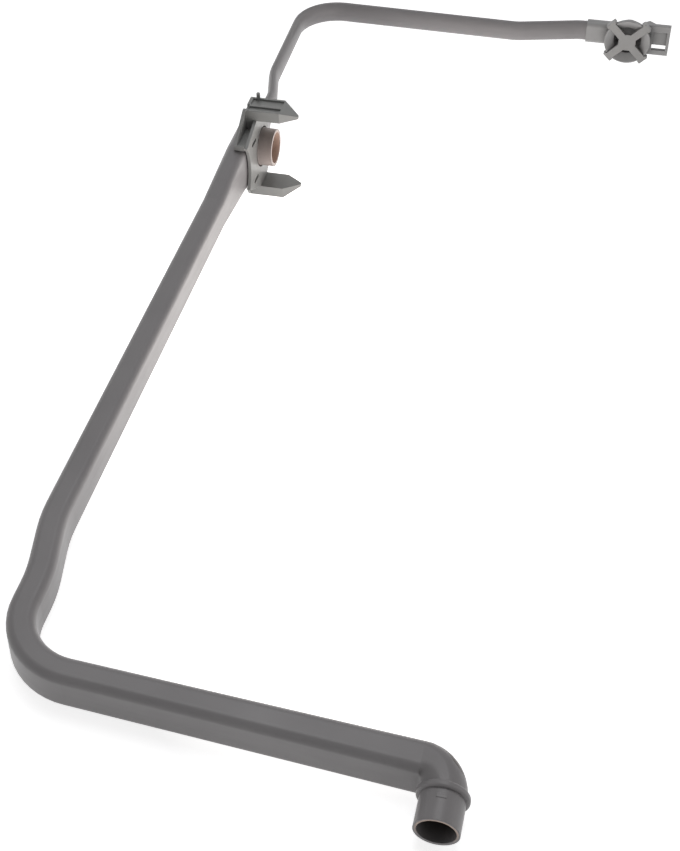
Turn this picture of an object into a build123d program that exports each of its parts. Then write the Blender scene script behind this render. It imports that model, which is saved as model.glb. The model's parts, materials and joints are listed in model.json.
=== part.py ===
from build123d import *
import os
from math import cos, radians, sin

os.makedirs("parts", exist_ok=True)

# Dishwasher wash arm riser tube, lying on its side. Millimetres.
# The origin is the middle of the inlet mouth, X runs forward over the lower run,
# Y runs up the riser as the tube stands in the tub, Z is across the tub.

# Walls of the blown tube
wall = 1.5
thin_wall = 1.0

# Duct of the lower run and the riser
duct_deep = 13.5
duct_wide = 22.0
duct_round = 4.0

# Inlet spigot, its bead and key, and the elbow above it
inlet_r = 10.0
inlet_long = 18.1
bead_proud = 1.6
bead_thick = 3.4
bead_round = 1.2
bead_root = 3.6
key_wide = 4.4
key_long = 1.8
key_high = 0.2
key_root = 1.0
key_x = -0.8
key_below_bead = 2.6
elbow_deep = 15.7
elbow_inner_r = 1.9
elbow_steps = 4
round_gap = 0.6

# Route of the duct, whose lower run grows deeper towards the elbow
run_y = 29.0
run_straight = 2.0
corner_x = -200.2
corner_r = 31.0
jog_rise = 48.0
jog_long = 33.0
jog_back = 6.7
jog_r = 80.0

# Top section, turned about the riser and set over to one side
swing = 4.0
set_over = -0.7

# Docking chamber and docking spigot. Heights are from the spigot's axis.
dock_y = 450.3
flare_under = 78.3
chamber_under = 26.3
chamber_over = 15.7
chamber_wide = 32.6
chamber_round = 5.8
dock_r = 12.0
dock_wall = 2.0
dock_long = 18.3
seat_wide = 2.9
seat_high = 0.6
collar_wide = 0.3
collar_over = 0.3

# Flat tube to the ceiling, with its shoulder on the chamber
thin_deep = 6.8
thin_wide = 14.6
thin_back = -0.2
thin_over = 29.7
shoulder_over = 37.7
shoulder_deep = 8.6
shoulder_wide = 18.0
shoulder_round = 3.6
lean_over = 57.7
lean_long = 28.0
lean_back = 6.4
top_back = 8.4
lean_r = 40.0
ceiling_y = 637.3
ceiling_r = 29.0
kink_drop = 3.4
kink_long = 44.3
kink_r = 30.0
socket_rise = 7.8

# Docking guide, seated on the chamber. Heights are from the docking spigot's axis.
plate_thick = 2.0
plate_under = 32.4
plate_over = 14.0
plate_far_wide = 1.2
plate_hollow = 5.2
low_corner = 12.8
dock_gap = 0.9
slot_long = 9.5
slot_wide = 2.4
slot_under = 17.3
slot_side = 13.6
cheek_gap = 0.15
cheek_thick = 1.6
low_cheek_under = 17.0
wing_ahead = 0.6
wing_thick = 1.8
horn_under = 1.3
horn_wide = 16.5
horn_in = 24.6
horn_high = 7.0
horn_straight = 14.9
horn_long = 25.4
horn_tip = 1.8
horn_skin = 2.0
groove_deep = 1.2
groove_start = 3.6
near_groove = 4.0
far_groove = 7.0
rib = 1.6
lip_high = 1.4
lip_thick = 1.8
nub_r = 1.2
nub_high = 3.8
nub_ahead = 6.8
skin_ahead = 1.5
notch_wide = 5.4
notch_ahead = 3.4

# Shower head. Distances run out from its axis, heights up from its rim.
head_u = 229.4
rim_under = 11.8
rim_r = 16.2
rim_thick = 2.5
bell_step = 1.6
bell_high = 6.2
core_r = 11.2
core_top_r = 9.5
roof = 1.6
lip_wide = 0.7
bore_r = 9.8
bore_top_r = 8.1
funnel_deep = 3.2
socket_long = 30.0
socket_wall = 0.7
socket_round = 3.4
socket_lead = 5.1
grip_long = 16.0
fit_gap = 0.15
frame_start = 8.8
frame_end = 29.3
frame_wide = 22.4
frame_up = 6.7
frame_deep = 3.2
frame_bar = 2.0
panel_start = 17.4
panel_thick = 1.0
panel_high = 6.4
panel_low = -4.4
slit_wide = 3.2
tooth_u = 13.9
tooth_half = 4.6
tooth_high = 3.8

# Cross that breaks the jet, let into four notches of the rim
cross_thick = 2.2
cross_proud = 0.6
arm_wide = 5.4
arm_over = 2.3
hub_r = 6.1
hook_wide = 7.0
hook_gap = 0.2
barb_thick = 1.2
barb_less = 1.5

# Derived places
elbow_start = -(inlet_r + elbow_inner_r)
elbow_y = inlet_long + elbow_inner_r + elbow_deep / 2
run_x = corner_x + corner_r + run_straight
riser_x = corner_x - jog_back
jog_low_y = run_y + jog_rise
jog_high_y = jog_low_y + jog_long
bead_r = inlet_r + bead_proud
key_y = inlet_long - bead_thick - key_below_bead - key_long / 2
flare_low_y = dock_y - flare_under
chamber_low_y = dock_y - chamber_under
chamber_top_y = dock_y + chamber_over
shoulder_y = dock_y + shoulder_over
lean_low_y = dock_y + lean_over
plate_back = duct_deep / 2 + seat_high
plate_front = plate_back + plate_thick
plate_near_y = dock_y - plate_under
plate_far_y = dock_y + plate_over
slot_y = dock_y - slot_under
cheek_in = chamber_wide / 2 + cheek_gap
cheek_out = cheek_in + cheek_thick
cheek_mid = cheek_in + cheek_thick / 2
plate_far_half = cheek_out + plate_far_wide
horn_y = dock_y - horn_under
horn_near_y = horn_y - horn_wide / 2
horn_far_y = horn_y + horn_wide / 2
horn_out = horn_in + horn_high
horn_mid = horn_in + horn_high / 2
socket_v = ceiling_y + socket_rise
socket_u = head_u - socket_long - socket_lead
rim_y = socket_v - rim_under
bell_r = rim_r - bell_step
socket_deep = thin_deep + 2 * (fit_gap + socket_wall)
socket_wide = thin_wide + 2 * (fit_gap + socket_wall)
core_top = rim_under + socket_deep / 2
arm_r = rim_r + arm_over
cross_back = cross_thick - cross_proud

# Directions of the top section
forward = Vector(cos(radians(swing)), 0, sin(radians(swing)))
sideways = Vector(-sin(radians(swing)), 0, cos(radians(swing)))
upward = Vector(0, 1, 0)


# A point of the top section, from the riser's axis
def spot(ahead, y, side=0):
    return Vector(riser_x, y, 0) + forward * ahead + sideways * (side + set_over)


# A plane across the riser, its own x forward
def across(ahead, y):
    return Plane(origin=spot(ahead, y), x_dir=forward, z_dir=upward)


# A plane facing forward, its own x up the riser and its own y sideways
def facing(ahead):
    return Plane(origin=spot(ahead, 0), x_dir=upward, z_dir=forward)


# A plane facing sideways, its own x forward and its own y up the riser
def beside(side):
    return Plane(origin=spot(0, 0, side), x_dir=forward, z_dir=sideways)


# A plane of the shower head, so far up from its rim, its own x out along the run
def head_plane(rise):
    return across(head_u - thin_back, rim_y + rise)


# A plane across the inlet or the untwisted riser, its own x along X
def level(x, y):
    return Plane(origin=(x, y, 0), x_dir=(1, 0, 0), z_dir=(0, 1, 0))


# Routes of the duct and of the flat tube
with BuildLine() as duct_route:
    FilletPolyline(
        (run_x, run_y),
        (corner_x, run_y),
        (corner_x, jog_low_y),
        (riser_x, jog_high_y),
        (riser_x, flare_low_y),
        radius=[corner_r, jog_r, jog_r],
    )
with BuildLine(Plane(origin=spot(-thin_back, 0), x_dir=forward, z_dir=sideways)) as thin_route:
    FilletPolyline(
        (0, dock_y + thin_over),
        (0, lean_low_y),
        (-lean_back, lean_low_y + lean_long),
        (-top_back, ceiling_y),
        (socket_u - kink_long, ceiling_y - kink_drop),
        (socket_u, socket_v),
        (head_u - socket_long + grip_long - fit_gap, socket_v),
        radius=[lean_r, lean_r, ceiling_r, kink_r, kink_r],
    )

# The tube's outside and its water passage are the same run of shapes, one inset from the other
shells = {}
for name, inset, thin_inset, dock_inset in (("skin", 0, 0, 0), ("passage", wall, thin_wall, dock_wall)):
    with BuildPart() as shell:
        # Elbow from the duct to the round inlet
        for step in range(elbow_steps + 1):
            part_way = step / elbow_steps
            turn = radians(90 * part_way)
            deep = elbow_deep + (2 * inlet_r - elbow_deep) * part_way
            wide = duct_wide + (2 * inlet_r - duct_wide) * part_way
            rounding = duct_round + (inlet_r - round_gap - duct_round) * part_way
            out = Vector(sin(turn), cos(turn), 0)
            middle = Vector(elbow_start, inlet_long, 0) + out * (elbow_inner_r + deep / 2)
            with BuildSketch(Plane(middle, x_dir=out, z_dir=(cos(turn), -sin(turn), 0))):
                RectangleRounded(deep - 2 * inset, wide - 2 * inset, rounding - inset)
        loft()
        # Lower run
        with BuildSketch(Plane((elbow_start, elbow_y, 0), x_dir=(0, 1, 0), z_dir=(-1, 0, 0))):
            RectangleRounded(elbow_deep - 2 * inset, duct_wide - 2 * inset, duct_round - inset)
        with BuildSketch(Plane((run_x, run_y, 0), x_dir=(0, 1, 0), z_dir=(-1, 0, 0))):
            RectangleRounded(duct_deep - 2 * inset, duct_wide - 2 * inset, duct_round - inset)
        loft(ruled=True)
        # Corner, jog and riser
        with BuildSketch(Plane((run_x, run_y, 0), x_dir=(0, 1, 0), z_dir=(-1, 0, 0))):
            RectangleRounded(duct_deep - 2 * inset, duct_wide - 2 * inset, duct_round - inset)
        sweep(path=duct_route.wires()[0])
        # Flare to the docking chamber, the chamber and its shoulder
        with BuildSketch(level(riser_x, flare_low_y)):
            RectangleRounded(duct_deep - 2 * inset, duct_wide - 2 * inset, duct_round - inset)
        with BuildSketch(across(0, chamber_low_y)):
            RectangleRounded(duct_deep - 2 * inset, chamber_wide - 2 * inset, chamber_round - inset)
        loft(ruled=True)
        with BuildSketch(across(0, chamber_low_y)):
            RectangleRounded(duct_deep - 2 * inset, chamber_wide - 2 * inset, chamber_round - inset)
        extrude(amount=chamber_top_y - chamber_low_y)
        with BuildSketch(across(0, chamber_top_y)):
            RectangleRounded(duct_deep - 2 * inset, chamber_wide - 2 * inset, chamber_round - inset)
        with BuildSketch(across(-thin_back, shoulder_y - inset)):
            RectangleRounded(shoulder_deep - 2 * inset, shoulder_wide - 2 * inset, shoulder_round - inset)
        loft(ruled=True)
        # Flat oval tube up the wall and along the ceiling
        with BuildSketch(across(-thin_back, dock_y + thin_over)):
            Ellipse(thin_deep / 2 - thin_inset, thin_wide / 2 - thin_inset)
        sweep(path=thin_route.wires()[0])
        # Inlet spigot and docking spigot
        with BuildSketch(level(0, 0)):
            Circle(inlet_r - inset)
        extrude(amount=inlet_long)
        with BuildSketch(facing(0)):
            with Locations((dock_y, 0)):
                Circle(dock_r - dock_inset)
        extrude(amount=dock_long)
    shells[name] = shell.part

with BuildPart() as feed_tube:
    add(shells["skin"])
    # Bead and small key of the inlet spigot
    with BuildSketch(Plane.XY):
        with Locations((bead_r - bead_root / 2, inlet_long - bead_thick / 2)):
            RectangleRounded(bead_root, bead_thick, bead_round)
    revolve(axis=Axis.Y)
    with BuildSketch(level(0, key_y - key_long / 2)):
        Circle(inlet_r + key_high)
        with Locations((key_x, -inlet_r)):
            Rectangle(key_wide, 2 * key_root, mode=Mode.INTERSECT)
    extrude(amount=key_long)
    # Seat and collar for the docking guide round the docking spigot
    for reach, ring in ((plate_back, seat_wide), (plate_front + collar_over, collar_wide)):
        with BuildSketch(facing(0)):
            with Locations((dock_y, 0)):
                Circle(dock_r + ring)
        extrude(amount=reach)
    add(shells["passage"], mode=Mode.SUBTRACT)
feed_tube.part.label = "feed_tube"
export_step(feed_tube.part, "parts/feed_tube.step")

with BuildPart() as dock_guide:
    # Shield-shaped plate with the hole for the docking spigot and two slots
    far_half = [
        (horn_near_y, horn_in),
        (horn_near_y, horn_out),
        (horn_far_y, horn_out),
        (horn_far_y, horn_in),
        (plate_far_y, plate_far_half),
    ]
    near_top = (plate_near_y, cheek_out)
    near_low = (plate_near_y, -low_corner)
    with BuildSketch(facing(plate_back)):
        with BuildLine():
            Polyline(near_top, *far_half, *[(y, -side) for y, side in reversed(far_half)], near_low)
            ThreePointArc(near_low, (plate_near_y + plate_hollow, 0), near_top)
        make_face()
        with Locations((dock_y, 0)):
            Circle(dock_r + collar_wide + dock_gap, mode=Mode.SUBTRACT)
        with Locations((slot_y, slot_side), (slot_y, -slot_side)):
            SlotOverall(slot_long, slot_wide, mode=Mode.SUBTRACT)
    extrude(amount=plate_thick)
    for side, near_y in ((1, plate_near_y), (-1, dock_y - low_cheek_under)):
        # Cheek along the chamber's side
        with BuildSketch(facing(wing_ahead)):
            with Locations(((near_y + plate_far_y) / 2, side * cheek_mid)):
                Rectangle(plate_far_y - near_y, cheek_thick)
        extrude(amount=plate_back - wing_ahead)
        # Wing behind the plate
        with BuildSketch(facing(wing_ahead)):
            with BuildLine():
                Polyline(
                    (near_y, side * cheek_mid),
                    (near_y, side * (cheek_out + lip_high)),
                    (horn_near_y, side * horn_out),
                    (horn_near_y + horn_skin, side * horn_out),
                    (horn_near_y + horn_skin, side * horn_mid),
                    (horn_far_y, side * horn_mid),
                    (plate_far_y, side * plate_far_half),
                    (plate_far_y, side * cheek_mid),
                    close=True,
                )
            make_face()
        extrude(amount=wing_thick)
        # Near wall and outer skin of the horn's hollow base
        with BuildSketch(facing(wing_ahead)):
            with Locations((horn_near_y + horn_skin / 2, side * (cheek_mid + horn_out) / 2)):
                Rectangle(horn_skin, horn_out - cheek_mid)
        extrude(amount=plate_front - wing_ahead)
        with BuildSketch(facing(skin_ahead)):
            with Locations((horn_y, side * (horn_out - horn_skin / 2))):
                Rectangle(horn_wide, horn_skin)
        extrude(amount=plate_front - skin_ahead)
        # Horn, straight from the plate and then pointed at its inner side
        with BuildSketch(facing(plate_back)):
            with Locations((horn_y, side * horn_mid)):
                Rectangle(horn_wide, horn_high)
        extrude(amount=plate_thick + horn_straight)
        with BuildSketch(facing(plate_front + horn_straight)):
            with Locations((horn_y, side * horn_mid)):
                Rectangle(horn_wide, horn_high)
        with BuildSketch(facing(plate_front + horn_long)):
            with Locations((horn_y, side * (horn_in + horn_tip / 2))):
                Rectangle(horn_tip, horn_tip)
        loft(ruled=True)
        # Two grooves along the horn's outer face, and a notch in its back edge
        groove_end = plate_front + horn_straight
        with BuildSketch(beside(side * (horn_out - groove_deep))):
            with Locations(((groove_start + groove_end) / 2, horn_near_y + rib + near_groove / 2)):
                Rectangle(groove_end - groove_start, near_groove)
            with Locations(((groove_start + groove_end) / 2, horn_far_y - rib - far_groove / 2)):
                Rectangle(groove_end - groove_start, far_groove)
        extrude(amount=side * 2 * groove_deep, mode=Mode.SUBTRACT)
        with BuildSketch(beside(side * (horn_out - horn_skin))):
            with Locations((notch_ahead / 2, horn_near_y + horn_skin + notch_wide / 2)):
                Rectangle(notch_ahead, notch_wide)
        extrude(amount=side * 2 * horn_skin, mode=Mode.SUBTRACT)
    # Lip at the near end of the upper pocket, between the plate and the wing
    with BuildSketch(facing(wing_ahead)):
        with Locations((plate_near_y + lip_thick / 2, (cheek_mid + cheek_out + lip_high) / 2)):
            Rectangle(lip_thick, cheek_out + lip_high - cheek_mid)
    extrude(amount=plate_back - wing_ahead)
    # Nub on the upper horn's far edge
    with BuildSketch(beside(horn_out - horn_skin)):
        with Locations((nub_ahead, horn_far_y - nub_r)):
            Circle(nub_r)
    extrude(amount=horn_skin + nub_high)
dock_guide.part.label = "dock_guide"
export_step(dock_guide.part, "parts/dock_guide.step")

with BuildPart() as shower_head:
    # Rim, bell and core
    with BuildSketch(head_plane(0)):
        Circle(rim_r)
    extrude(amount=rim_thick)
    with BuildSketch(head_plane(rim_thick)):
        Circle(bell_r)
    with BuildSketch(head_plane(bell_high)):
        Circle(core_r)
    loft()
    with BuildSketch(head_plane(bell_high)):
        Circle(core_r)
    with BuildSketch(head_plane(core_top)):
        Circle(core_top_r)
    loft()
    # Socket for the flat tube
    socket_plane = Plane(
        origin=spot(head_u - socket_long - thin_back, socket_v),
        x_dir=upward,
        z_dir=forward,
    )
    with BuildSketch(socket_plane):
        RectangleRounded(socket_deep, socket_wide, socket_round)
    extrude(amount=socket_long)
    # Clip frame beyond the rim
    with BuildSketch(head_plane(frame_up)):
        with Locations(((frame_start + frame_end) / 2, 0)):
            Rectangle(frame_end - frame_start, frame_wide)
    extrude(amount=frame_deep)
    # Slit beside the panel, and the panel's recess
    window_end = frame_end - frame_bar
    with BuildSketch(head_plane(frame_up)):
        with Locations(((panel_start + window_end) / 2, slit_wide / 2 - panel_low)):
            Rectangle(window_end - panel_start, slit_wide)
    extrude(amount=frame_deep, mode=Mode.SUBTRACT)
    with BuildSketch(head_plane(frame_up)):
        with Locations(((panel_start + window_end) / 2, -(panel_low + panel_high) / 2)):
            Rectangle(window_end - panel_start, panel_high - panel_low)
    extrude(amount=frame_deep - panel_thick, mode=Mode.SUBTRACT)
    # Ramped tooth on the back of the clip frame
    tooth_plane = Plane(
        origin=spot(head_u - thin_back, rim_y + frame_up + frame_deep, frame_wide / 2),
        x_dir=forward,
        z_dir=-sideways,
    )
    with BuildSketch(tooth_plane):
        with BuildLine():
            Polyline(
                (tooth_u - tooth_half, panel_thick),
                (tooth_u - tooth_half, 0),
                (tooth_u, -tooth_high),
                (tooth_u + tooth_half, 0),
                (tooth_u + tooth_half, panel_thick),
                close=True,
            )
        make_face()
    extrude(amount=frame_wide / 2 - panel_high)
    # Funnel, bore and the passage from the socket
    with BuildSketch(head_plane(0)):
        Circle(rim_r - lip_wide)
    with BuildSketch(head_plane(funnel_deep)):
        Circle(bore_r)
    loft(mode=Mode.SUBTRACT)
    with BuildSketch(head_plane(funnel_deep)):
        Circle(bore_r)
    with BuildSketch(head_plane(core_top - roof)):
        Circle(bore_top_r)
    loft(mode=Mode.SUBTRACT)
    with BuildSketch(socket_plane):
        Ellipse(thin_deep / 2 + fit_gap, thin_wide / 2 + fit_gap)
    extrude(amount=grip_long, mode=Mode.SUBTRACT)
    with BuildSketch(socket_plane):
        Ellipse(thin_deep / 2 - thin_wall, thin_wide / 2 - thin_wall)
    extrude(amount=socket_long, mode=Mode.SUBTRACT)
    # Notches in the rim for the arms of the cross
    with BuildSketch(head_plane(0)):
        for turn in (45, -45):
            Rectangle(2 * arm_r, arm_wide + 2 * fit_gap, rotation=turn)
    extrude(amount=cross_back + fit_gap, mode=Mode.SUBTRACT)
shower_head.part.label = "shower_head"
export_step(shower_head.part, "parts/shower_head.step")

with BuildPart() as spray_cross:
    with BuildSketch(head_plane(-cross_proud)):
        Circle(hub_r)
        for turn in (45, -45):
            Rectangle(2 * arm_r, arm_wide, rotation=turn)
    extrude(amount=cross_thick)
    # Hooks over the rim, each with a barb behind it
    hook_in = rim_r + hook_gap
    barb_up = rim_thick + hook_gap
    barb_in = bell_r + hook_gap
    with BuildSketch(head_plane(-cross_proud)):
        with PolarLocations((hook_in + arm_r) / 2, 4, start_angle=45):
            Rectangle(arm_r - hook_in, hook_wide)
    extrude(amount=cross_proud + barb_up + barb_thick)
    with BuildSketch(head_plane(barb_up)):
        with PolarLocations((barb_in + arm_r) / 2, 4, start_angle=45):
            Rectangle(arm_r - barb_in, arm_wide - barb_less)
    extrude(amount=barb_thick)
spray_cross.part.label = "spray_cross"
export_step(spray_cross.part, "parts/spray_cross.step")
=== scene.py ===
"""Looks of a dishwasher wash arm riser tube: satin grey plastic on a softly lit white table."""

import json
import math

import bpy
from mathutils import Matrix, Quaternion, Vector

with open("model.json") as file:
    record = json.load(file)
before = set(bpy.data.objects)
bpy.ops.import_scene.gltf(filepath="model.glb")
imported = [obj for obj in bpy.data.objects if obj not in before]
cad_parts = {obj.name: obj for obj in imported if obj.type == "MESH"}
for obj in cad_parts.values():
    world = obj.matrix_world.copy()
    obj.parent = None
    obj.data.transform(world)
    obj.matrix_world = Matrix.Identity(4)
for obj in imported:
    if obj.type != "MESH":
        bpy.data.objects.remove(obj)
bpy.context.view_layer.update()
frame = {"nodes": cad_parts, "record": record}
scene = bpy.context.scene
scene.view_settings.view_transform = "Standard"

# Camera at the photograph's viewing angle, in metres
camera_at = Vector((-0.00225, -0.2815, 0.510))
camera_target = Vector((-0.09063, 0.21527, 0.0))
camera_roll = math.radians(4.34)
camera_lens = 57.975
camera_sensor = 36.0

# Pale and deep tone of each moulding, as linear colours
tube_tones = ((0.258, 0.246, 0.250), (0.224, 0.213, 0.217))
guide_tones = ((0.298, 0.299, 0.292), (0.265, 0.266, 0.260))
head_tones = ((0.354, 0.350, 0.350), (0.316, 0.312, 0.312))
cross_tones = ((0.332, 0.328, 0.322), (0.298, 0.294, 0.289))
cloud_share = 0.65

# Size in metres and detail of each pattern in the plastic
clouds = (0.030, 3.0)
streaks = (0.004, 2.0)
scuffs = (0.012, 6.0)
grain = (0.00035, 1.0)
grain_deep = 0.00002
grain_strength = 0.35
even = (1, 1, 1)
along_tube = (0.12, 0.12, 1)

# Gloss, with scuffs and streaks in equal shares
satin_rough = (0.33, 0.43)
scuff_share = 0.5
plastic_ior = 1.49
sheen_level = 0.38

# Painted edge highlight, and painted crevice shade with its reach in metres and the openness at
# which it ends
edge_round = 0.0004
edge_samples = 6
edge_highlight_gain = 1.4
edge_highlight_tone = 1.7
tube_crevice_shade = (0.002, 0.55)
guide_crevice_shade = (0.0011, 0.55)
head_crevice_shade = (0.009, 0.88)
crevice_full = 0.10
crevice_samples = 8
crevice_shade_colour = (0.15, 0.15, 0.15)

# Docking spigot, in metres: warm light inside, with shares of it on the outside and the mouth
lit_wall = (0.63, 0.45, 0.365)
lit_deep = 0.024
lit_outside = 0.30
lit_mouth = 0.5

# Inlet spigot, in metres: painted shade inside, with a painted warm light line on the upper part
# of its rim
bore_shade_colour = (0.075, 0.062, 0.058)
bore_shade_from = 0.0010
bore_shade_deep = 0.010
lit_rim = (0.50, 0.38, 0.31)
rim_heights = (-0.006, 0.004)

# Both spigots, in metres
rim_deep = 0.0006
wall_thick = 0.0014

# Table: it glows, more so and warmer inside the loop, and far away it is white to look at
floor_size = 8.0
floor_white = (0.86, 0.86, 0.86, 1)
inlet_end = 0.05
table_glow = 0.45
table_colour = (1.0, 1.0, 1.0)
loop_glow = 1.5
loop_colour = (1.0, 0.95, 0.91)
loop_middle = Vector((-0.06, 0.34, 0.0))
loop_reach = Vector((0.19, 0.34, 1.0))
loop_edge = (0.5, 1.0)
near_extra = 0.30
far_extra = 0.75
far_reach = (0.6, 1.4)

# Surroundings, which are darker over the near side
ambient = 0.39
ambient_dark = 0.10
dark_side = Vector((0.0, -0.55, 0.835))
dark_edge = (0.1, 0.85)

# Softboxes, one overhead and one on the right, placed from the middle of the part
middle = Vector((-0.08, 0.30, 0.0))
key_from = Vector((-0.3, 0.85, 2.8))
key_size = 1.6
key_power = 24.0
key_colour = (0.98, 0.985, 1.0)
side_from = Vector((1.9, 0.3, 0.9))
side_size = 1.4
side_power = 2.6
side_colour = (1.0, 0.97, 0.945)


def maths(tree, operation, *values):
    """Maths node over sockets and constants."""
    node = tree.nodes.new("ShaderNodeMath")
    node.operation = operation
    for slot, value in zip(node.inputs, values):
        if isinstance(value, (int, float)):
            slot.default_value = value
        else:
            tree.links.new(value, slot)
    return node.outputs[0]


def vectors(tree, operation, first, second=None):
    """Vector maths node over sockets and constants, as all its outputs."""
    node = tree.nodes.new("ShaderNodeVectorMath")
    node.operation = operation
    for slot, value in zip(node.inputs, (first, second)):
        if isinstance(value, bpy.types.NodeSocket):
            tree.links.new(value, slot)
        elif value is not None:
            slot.default_value = value
    return node.outputs


def noise(tree, place, size, detail, stretch=even):
    """Noise of a size in metres, drawn out along axes where stretch is under one."""
    scaled = vectors(tree, "MULTIPLY", place, [share / size for share in stretch])[0]
    node = tree.nodes.new("ShaderNodeTexNoise")
    node.inputs["Scale"].default_value = 1.0
    node.inputs["Detail"].default_value = detail
    tree.links.new(scaled, node.inputs["Vector"])
    return node.outputs["Fac"]


def spread(tree, value, low, high, start=0.3, end=0.7):
    """Value mapped from start and end to low and high, and held there beyond them."""
    node = tree.nodes.new("ShaderNodeMapRange")
    node.inputs["From Min"].default_value = start
    node.inputs["From Max"].default_value = end
    node.inputs["To Min"].default_value = low
    node.inputs["To Max"].default_value = high
    tree.links.new(value, node.inputs["Value"])
    return node.outputs[0]


def mixed(tree, share, first, second, way="MIX"):
    """Two colours mixed, each a socket or a constant."""
    node = tree.nodes.new("ShaderNodeMix")
    node.data_type = "RGBA"
    node.blend_type = way
    tree.links.new(share, node.inputs[0])
    for slot, value in ((node.inputs[6], first), (node.inputs[7], second)):
        if isinstance(value, tuple):
            slot.default_value = (*value, 1.0)
        else:
            tree.links.new(value, slot)
    return node.outputs[2]


def about_spigot(tree, place, mount):
    """Depth behind a spigot's mouth, and whether a place is inside its wall or on its outside."""
    offset = vectors(tree, "SUBTRACT", place, Vector(mount["pos_m"]))[0]
    ahead = vectors(tree, "DOT_PRODUCT", offset, Vector(mount["axis"]))["Value"]
    length = vectors(tree, "LENGTH", offset)["Value"]
    squares = [maths(tree, "POWER", side, 2.0) for side in (length, ahead)]
    square = maths(tree, "SUBTRACT", *squares)
    radius = maths(tree, "SQRT", maths(tree, "MAXIMUM", square, 0.0))
    wall_r = mount["dims"]["r_mm"] / 1000
    within = maths(tree, "LESS_THAN", radius, wall_r - wall_thick / 2)
    around = maths(tree, "LESS_THAN", radius, wall_r + wall_thick / 2)
    return maths(tree, "MULTIPLY", ahead, -1.0), within, around


def lit_docking(tree, place, colour, mount):
    """Warm light in the docking spigot, which fades with depth."""
    depth, within, around = about_spigot(tree, place, mount)
    outside = maths(tree, "MULTIPLY", around, lit_outside)
    share = maths(tree, "MULTIPLY_ADD", within, 1.0 - lit_outside, outside)
    fade = spread(tree, depth, 1.0, 0.0, 0.0, lit_deep)
    mouth = spread(tree, depth, lit_mouth, 1.0, 0.0, rim_deep)
    fade = maths(tree, "MULTIPLY", fade, mouth)
    return mixed(tree, maths(tree, "MULTIPLY", share, fade), colour, lit_wall)


def inlet_shade_and_rim_light(tree, place, colour, mount):
    """Painted shade in the inlet spigot's bore, and a painted warm light line on the upper part
    of its rim.
    """
    depth, within, _ = about_spigot(tree, place, mount)
    bore_shade_share = spread(tree, depth, 0.0, 1.0, bore_shade_from, bore_shade_deep)
    colour = mixed(tree, maths(tree, "MULTIPLY", within, bore_shade_share), colour, bore_shade_colour)
    height = vectors(tree, "DOT_PRODUCT", place, Vector((0, 0, 1)))["Value"]
    upper = maths(tree, "MULTIPLY", within, spread(tree, height, 0.0, 1.0, *rim_heights))
    rim = maths(tree, "MULTIPLY", upper, spread(tree, depth, 1.0, 0.0, 0.0, rim_deep))
    return mixed(tree, rim, colour, lit_rim)


def satin_plastic(name, tones, crevices, stretch=even, spigots=None):
    """Moulded grey plastic with clouds, flow streaks, grain, eased edges, painted edge highlight
    and painted crevice shade.
    """
    material = bpy.data.materials.new(name)
    material.use_nodes = True
    tree = material.node_tree
    shader = tree.nodes["Principled BSDF"]
    place = tree.nodes.new("ShaderNodeTexCoord").outputs["Object"]
    cloud = noise(tree, place, *clouds)
    streak = noise(tree, place, *streaks, stretch)
    scuff = noise(tree, place, *scuffs, stretch)

    # Rounded normals at the edges
    bevel = tree.nodes.new("ShaderNodeBevel")
    bevel.samples = edge_samples
    bevel.inputs["Radius"].default_value = edge_round
    facing = tree.nodes.new("ShaderNodeNewGeometry").outputs["Normal"]
    turned = vectors(tree, "DOT_PRODUCT", bevel.outputs["Normal"], facing)["Value"]
    edge = maths(tree, "MULTIPLY", maths(tree, "SUBTRACT", 1.0, turned), edge_highlight_gain)

    # Colour: clouds and streaks, painted edge highlight and painted crevice shade
    streak_part = maths(tree, "MULTIPLY", streak, 1.0 - cloud_share)
    tone = maths(tree, "MULTIPLY_ADD", cloud, cloud_share, streak_part)
    colour = mixed(tree, spread(tree, tone, 0.0, 1.0), *tones)
    # Edges painted paler: a painted highlight
    colour = mixed(tree, edge, colour, tuple(edge_highlight_tone * value for value in tones[0]))
    # Painted shade in crevices, from ambient occlusion
    crevice = tree.nodes.new("ShaderNodeAmbientOcclusion")
    crevice.samples = crevice_samples
    crevice.inputs["Distance"].default_value = crevices[0]
    shade = spread(tree, crevice.outputs["AO"], 1.0, 0.0, crevice_full, crevices[1])
    colour = mixed(tree, shade, colour, crevice_shade_colour, "MULTIPLY")
    # Painted warm light in the docking spigot's bore; painted shade in the inlet's bore and
    # painted light on its rim
    if spigots:
        docking, inlet = spigots
        colour = lit_docking(tree, place, colour, docking)
        colour = inlet_shade_and_rim_light(tree, place, colour, inlet)
    tree.links.new(colour, shader.inputs["Base Color"])

    # Satin gloss with rubbed streaks
    streak_part = maths(tree, "MULTIPLY", streak, 1.0 - scuff_share)
    sheen = maths(tree, "MULTIPLY_ADD", scuff, scuff_share, streak_part)
    tree.links.new(spread(tree, sheen, *satin_rough), shader.inputs["Roughness"])
    shader.inputs["IOR"].default_value = plastic_ior
    shader.inputs["Specular IOR Level"].default_value = sheen_level

    # Grain of the mould
    bump = tree.nodes.new("ShaderNodeBump")
    bump.inputs["Strength"].default_value = grain_strength
    bump.inputs["Distance"].default_value = grain_deep
    tree.links.new(noise(tree, place, *grain), bump.inputs["Height"])
    tree.links.new(bevel.outputs["Normal"], bump.inputs["Normal"])
    tree.links.new(bump.outputs["Normal"], shader.inputs["Normal"])
    return material


def dress(node, material):
    """Gives a CAD node its material."""
    mesh = frame["nodes"][node].data
    mesh.materials.clear()
    mesh.materials.append(material)


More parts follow.
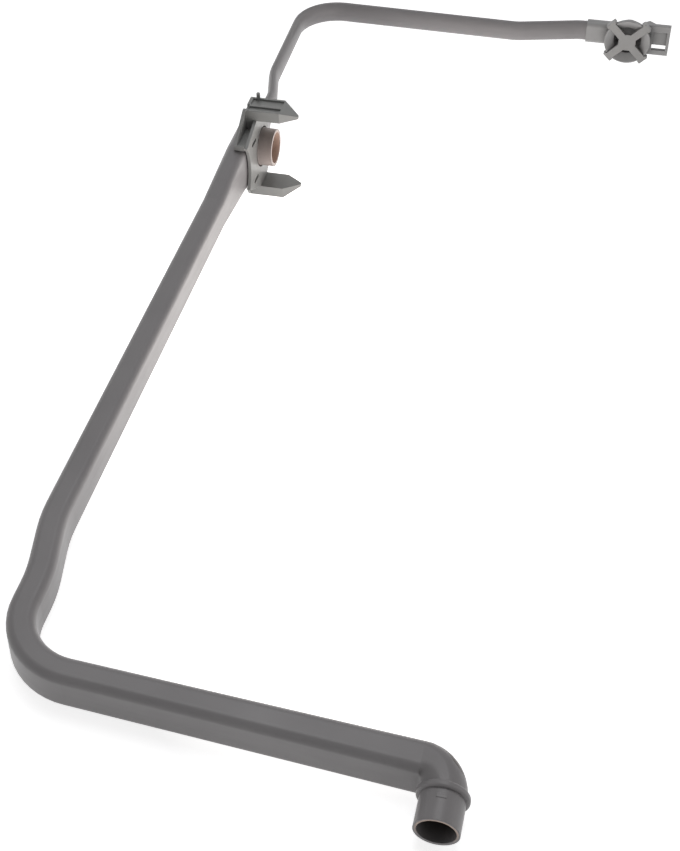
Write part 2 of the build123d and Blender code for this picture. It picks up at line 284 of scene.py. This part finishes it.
mounts = {mount["name"]: mount for mount in frame["record"]["mounts"]}
spigots = mounts["docking_spigot"], mounts["inlet_spigot"]
dress("feed_tube", satin_plastic("blown_tube", tube_tones, tube_crevice_shade, along_tube, spigots))
dress("dock_guide", satin_plastic("guide_moulding", guide_tones, guide_crevice_shade))
dress("shower_head", satin_plastic("head_moulding", head_tones, head_crevice_shade))
dress("spray_cross", satin_plastic("cross_moulding", cross_tones, tube_crevice_shade))

# Table that touches the inlet's bead and the lower horn, so it leans against the tube's frame
tube_points = [point.co for point in frame["nodes"]["feed_tube"].data.vertices]
horn_points = [point.co for point in frame["nodes"]["dock_guide"].data.vertices]
bead_low = min((co for co in tube_points if co.y < inlet_end), key=lambda co: co.z)
horn_low = min(horn_points, key=lambda co: co.z)
floor_lean = math.atan2(horn_low.z - bead_low.z, horn_low.y - bead_low.y)
bpy.ops.mesh.primitive_plane_add(size=floor_size, location=bead_low, rotation=(floor_lean, 0, 0))
floor = bpy.context.object
floor.name = "floor"


def seen_ray(tree):
    """One for rays from the camera, from gloss and through clear material."""
    path = tree.nodes.new("ShaderNodeLightPath").outputs
    glossy = maths(tree, "MAXIMUM", path["Is Glossy Ray"], path["Is Transmission Ray"])
    return maths(tree, "MAXIMUM", path["Is Camera Ray"], glossy)


table = bpy.data.materials.new("white_table")
table.use_nodes = True
tree = table.node_tree
tree.nodes.clear()
diffuse = tree.nodes.new("ShaderNodeBsdfDiffuse")
diffuse.inputs["Color"].default_value = floor_white
glow = tree.nodes.new("ShaderNodeEmission")
spot = tree.nodes.new("ShaderNodeNewGeometry").outputs["Position"]
away = vectors(tree, "DIVIDE", vectors(tree, "SUBTRACT", spot, loop_middle)[0], loop_reach)[0]
in_loop = spread(tree, vectors(tree, "LENGTH", away)["Value"], 1.0, 0.0, *loop_edge)
distance = vectors(tree, "DISTANCE", spot, middle)["Value"]
extra = spread(tree, distance, near_extra, far_extra, *far_reach)
level = maths(tree, "MULTIPLY_ADD", seen_ray(tree), extra, table_glow)
tree.links.new(maths(tree, "MULTIPLY_ADD", in_loop, loop_glow, level), glow.inputs["Strength"])
tree.links.new(mixed(tree, in_loop, table_colour, loop_colour), glow.inputs["Color"])
both = tree.nodes.new("ShaderNodeAddShader")
tree.links.new(diffuse.outputs[0], both.inputs[0])
tree.links.new(glow.outputs[0], both.inputs[1])
output = tree.nodes.new("ShaderNodeOutputMaterial")
tree.links.new(both.outputs[0], output.inputs["Surface"])
floor.data.materials.append(table)

# Surroundings: white to look at, dimmer as light, and darkest over the near side
world = bpy.data.worlds.new("studio")
scene.world = world
world.use_nodes = True
tree = world.node_tree
background = tree.nodes["Background"]
background.inputs["Color"].default_value = (1, 1, 1, 1)
sky = tree.nodes.new("ShaderNodeTexCoord").outputs["Generated"]
towards = vectors(tree, "DOT_PRODUCT", sky, dark_side.normalized())["Value"]
light = spread(tree, towards, ambient, ambient_dark, *dark_edge)
tree.links.new(maths(tree, "MAXIMUM", seen_ray(tree), light), background.inputs["Strength"])


def soft_lamp(name, offset, size, power, colour):
    """Square softbox that faces the middle of the part."""
    lamp = bpy.data.lights.new(name, "AREA")
    lamp.shape = "SQUARE"
    lamp.size = size
    lamp.energy = power
    lamp.color = colour
    holder = bpy.data.objects.new(name, lamp)
    holder.location = middle + offset
    holder.rotation_euler = (-offset).to_track_quat("-Z", "Y").to_euler()
    holder.visible_camera = False
    scene.collection.objects.link(holder)


soft_lamp("key_overhead", key_from, key_size, key_power, key_colour)
soft_lamp("side_right", side_from, side_size, side_power, side_colour)

camera = bpy.data.objects.new("camera", bpy.data.cameras.new("camera"))
camera.location = camera_at
aim = (camera_target - camera_at).to_track_quat("-Z", "Y")
camera.rotation_euler = (aim @ Quaternion((0, 0, 1), camera_roll)).to_euler()
camera.data.sensor_fit = "VERTICAL"
camera.data.sensor_height = camera_sensor
camera.data.lens = camera_lens
scene.collection.objects.link(camera)
scene.camera = camera
